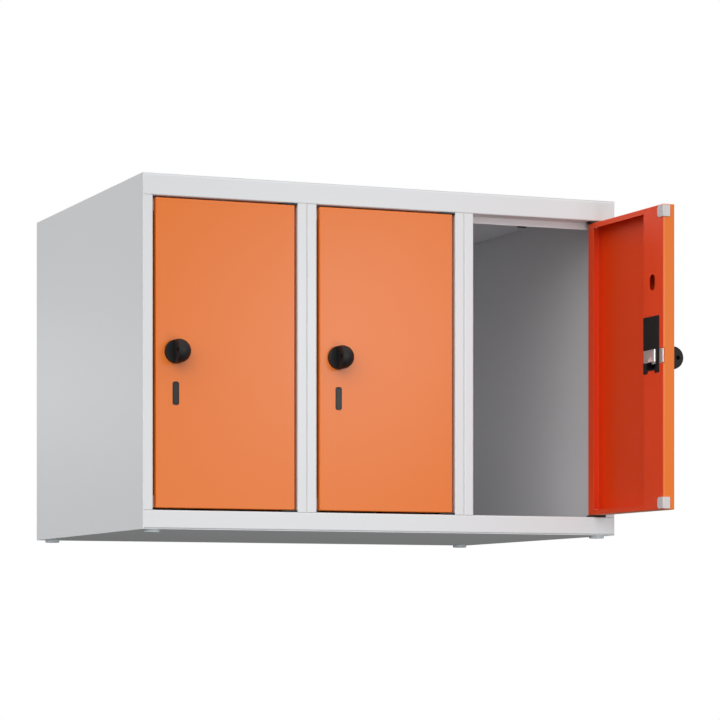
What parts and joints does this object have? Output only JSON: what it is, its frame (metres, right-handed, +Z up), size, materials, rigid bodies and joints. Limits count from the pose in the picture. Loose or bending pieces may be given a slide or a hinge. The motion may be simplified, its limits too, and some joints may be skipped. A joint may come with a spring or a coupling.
{
  "type": "stackable steel locker unit",
  "caption": "Low steel locker unit with side-by-side compartments, folded doors on pivot pins, turn-knob latches with padlock eye, coat hooks and small glide feet.",
  "frame": {"origin": "centre of the four glide feet, on the surface they stand on", "axes": "+X to the right along the front, +Y to the rear, +Z up"},
  "size_m": [0.766, 0.697, 0.504],
  "materials": {
    "body_paint": "satin pale grey powder coat",
    "door_paint": "satin orange powder coat",
    "door_paint_inside": "satin orange powder coat",
    "black_plastic": "fine satin moulded plastic",
    "lock_plastic": "satin moulded plastic",
    "buffer_plastic": "soft moulded plastic",
    "foot_plastic": "matt moulded plastic",
    "bolt_metal": "bright zinc plate",
    "zinc_metal": "zinc plated"
  },
  "bodies": {
    "carcass": {"side_panel_left": "body_paint", "side_panel_right": "body_paint", "partition_left": "body_paint", "partition_right": "body_paint", "roof_panel": "body_paint", "floor_panel": "body_paint", "rear_panel": "body_paint", "top_rail": "body_paint", "bottom_rail": "body_paint", "feet": "foot_plastic", "coat_hooks": "black_plastic", "pivot_bushes_lower": "black_plastic", "pivot_bushes_upper": "black_plastic", "pivot_pins_lower": "zinc_metal", "pivot_pins_upper": "zinc_metal"},
    "left_door": {"left_door_skin": "door_paint", "left_door_stiffener": "door_paint_inside", "left_door_buffers": "buffer_plastic", "left_door_number_insert": "black_plastic", "left_door_lock_body": "lock_plastic", "left_door_rosette": "black_plastic"},
    "left_knob": {"left_door_knob": "black_plastic", "left_door_spindle": "zinc_metal"},
    "left_bolt": {"left_door_bolt": "bolt_metal"},
    "middle_door": {"middle_door_skin": "door_paint", "middle_door_stiffener": "door_paint_inside", "middle_door_buffers": "buffer_plastic", "middle_door_number_insert": "black_plastic", "middle_door_lock_body": "lock_plastic", "middle_door_rosette": "black_plastic"},
    "middle_knob": {"middle_door_knob": "black_plastic", "middle_door_spindle": "zinc_metal"},
    "middle_bolt": {"middle_door_bolt": "bolt_metal"},
    "right_door": {"right_door_skin": "door_paint", "right_door_stiffener": "door_paint_inside", "right_door_buffers": "buffer_plastic", "right_door_number_insert": "black_plastic", "right_door_lock_body": "lock_plastic", "right_door_rosette": "black_plastic"},
    "right_knob": {"right_door_knob": "black_plastic", "right_door_spindle": "zinc_metal"},
    "right_bolt": {"right_door_bolt": "bolt_metal"}
  },
  "joints": [
    {"name": "left_door_swing", "type": "hinge", "parent": "carcass", "child": "left_door", "pos_m": [-0.1515, -0.241, 0.254], "axis": [0, 0, 1], "range_deg": [0, 100]},
    {"name": "left_knob_turn", "type": "hinge", "parent": "left_door", "child": "left_knob", "pos_m": [-0.326, -0.25, 0.254], "axis": [0, -1, 0], "range_deg": [0, 90]},
    {"name": "left_bolt_slide", "type": "slide", "parent": "left_door", "child": "left_bolt", "axis": [-1, 0, 0], "range_m": [0, 0.0099]},
    {"name": "middle_door_swing", "type": "hinge", "parent": "carcass", "child": "middle_door", "pos_m": [0.0985, -0.241, 0.254], "axis": [0, 0, 1], "range_deg": [0, 100]},
    {"name": "middle_knob_turn", "type": "hinge", "parent": "middle_door", "child": "middle_knob", "pos_m": [-0.076, -0.25, 0.254], "axis": [0, -1, 0], "range_deg": [0, 90]},
    {"name": "middle_bolt_slide", "type": "slide", "parent": "middle_door", "child": "middle_bolt", "axis": [-1, 0, 0], "range_m": [0, 0.0099]},
    {"name": "right_door_swing", "type": "hinge", "parent": "carcass", "child": "right_door", "pos_m": [0.3485, -0.241, 0.254], "axis": [0, 0, 1], "range_deg": [-91, 9]},
    {"name": "right_knob_turn", "type": "hinge", "parent": "right_door", "child": "right_knob", "pos_m": [0.36054, -0.41532, 0.254], "axis": [0.9998, 0.0175, 0], "range_deg": [0, 90]},
    {"name": "right_bolt_slide", "type": "slide", "parent": "right_door", "child": "right_bolt", "axis": [0.0175, -0.9998, 0], "range_m": [0, 0.0099]}
  ],
  "couplings": [
    {"joint": "left_bolt_slide", "follows": "left_knob_turn", "m_per_rad": 0.0063022},
    {"joint": "middle_bolt_slide", "follows": "middle_knob_turn", "m_per_rad": 0.0063022},
    {"joint": "right_bolt_slide", "follows": "right_knob_turn", "m_per_rad": 0.0063022}
  ]
}
